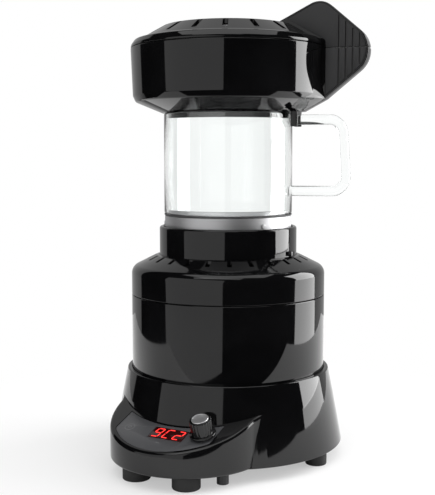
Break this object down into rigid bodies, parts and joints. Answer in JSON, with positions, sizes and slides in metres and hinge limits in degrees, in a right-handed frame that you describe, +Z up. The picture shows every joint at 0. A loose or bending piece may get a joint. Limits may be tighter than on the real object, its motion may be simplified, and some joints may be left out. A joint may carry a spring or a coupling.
{
  "type": "hot-air coffee bean roaster",
  "caption": "Countertop hot-air coffee roaster: round black body with a sloping control console, lift-off glass chamber and lift-off chaff collector with a slotted lid and fin handle.",
  "frame": {"origin": "on the surface the feet stand on, under the middle of the whole roaster", "axes": "+Z up along the roasting chamber, -Y towards the control console, +X towards the side of the glass handle and the fin handle, which stand 11 degrees further round"},
  "size_m": [0.1842, 0.1934, 0.3211],
  "materials": {
    "gloss_black": "polished piano-black ABS",
    "matte_black": "plain moulded plastic",
    "grip_grey": "fine matte soft-touch",
    "panel_film": "satin printed film",
    "rubber": "moulded rubber",
    "aluminium": "satin spun aluminium",
    "steel": "plain steel",
    "chrome": "bright metal cap",
    "brass": "turned brass",
    "mica": "mica sheet",
    "element_wire": "resistance wire",
    "silicone": "silicone rubber",
    "clear_glass": "clear borosilicate glass",
    "red_window": "dark red display filter",
    "board_green": "printed circuit board",
    "relay_blue": "moulded relay case",
    "lead_sleeve": "glass-fibre sleeve",
    "nylon": "glass-filled nylon"
  },
  "bodies": {
    "base": {"base_housing": "gloss_black", "base_plate": "matte_black", "base_screw_1": "steel", "base_screw_2": "steel", "base_screw_3": "steel", "base_screw_4": "steel", "blower_floor": "matte_black", "blower_housing": "nylon", "blower_motor": "steel", "board_screw_1": "steel", "board_screw_2": "steel", "body_shell": "gloss_black", "capacitor": "matte_black", "chamber_collar": "gloss_black", "chamber_seat": "steel", "control_board": "board_green", "cord_gland": "rubber", "display_module": "matte_black", "display_window": "red_window", "encoder_body": "steel", "foot_front_left": "rubber", "foot_front_right": "rubber", "foot_rear_left": "rubber", "foot_rear_right": "rubber", "foot_side_left": "rubber", "foot_side_right": "rubber", "heat_sink": "aluminium", "heater_can": "steel", "heater_coil": "element_wire", "heater_former": "mica", "heater_leads": "lead_sleeve", "motor_leads": "lead_sleeve", "motor_screw_1": "steel", "motor_screw_2": "steel", "panel_overlay": "panel_film", "power_board": "board_green", "relay": "relay_blue", "temperature_sensor": "steel", "thermal_cutoff": "matte_black", "upper_housing": "gloss_black"},
    "blower": {"motor_shaft": "steel", "impeller": "nylon"},
    "encoder_press": {"encoder_plunger": "brass"},
    "knob_turn": {"encoder_shaft": "nylon", "knob": "gloss_black", "knob_cap": "chrome"},
    "chamber": {"chamber_ring": "aluminium", "air_screen": "steel", "chamber_gasket": "silicone", "glass_jar": "clear_glass", "glass_handle": "clear_glass"},
    "collector": {"collector_body": "gloss_black", "chaff_riser": "aluminium", "grip_pad_lower_front": "grip_grey", "grip_pad_lower_rear": "grip_grey"},
    "lid": {"collector_lid": "gloss_black", "chaff_screen": "steel", "chaff_deflector": "aluminium", "grip_pad_upper_front": "grip_grey", "grip_pad_upper_rear": "grip_grey"}
  },
  "joints": [
    {"name": "blower_spin", "type": "hinge", "parent": "base", "child": "blower", "pos_m": [-0.00865, 0.0133, 0.09], "axis": [0, 0, 1], "continuous": true},
    {"name": "knob_press", "type": "slide", "parent": "base", "child": "encoder_press", "axis": [0, 0.3223, -0.9466], "range_m": [0, 0.0008], "stiffness_N_per_m": 1500, "springref_m": -0.001},
    {"name": "knob_turn", "type": "hinge", "parent": "encoder_press", "child": "knob_turn", "pos_m": [0.01985, -0.0712, 0.03418], "axis": [0, -0.3223, 0.9466], "continuous": true},
    {"name": "chamber_lift", "type": "slide", "parent": "base", "child": "chamber", "axis": [0, 0, 1], "range_m": [0, 0.1]},
    {"name": "collector_lift", "type": "slide", "parent": "chamber", "child": "collector", "axis": [0, 0, 1], "range_m": [0, 0.1]},
    {"name": "lid_lift", "type": "slide", "parent": "collector", "child": "lid", "axis": [0, 0, 1], "range_m": [0, 0.08]}
  ]
}
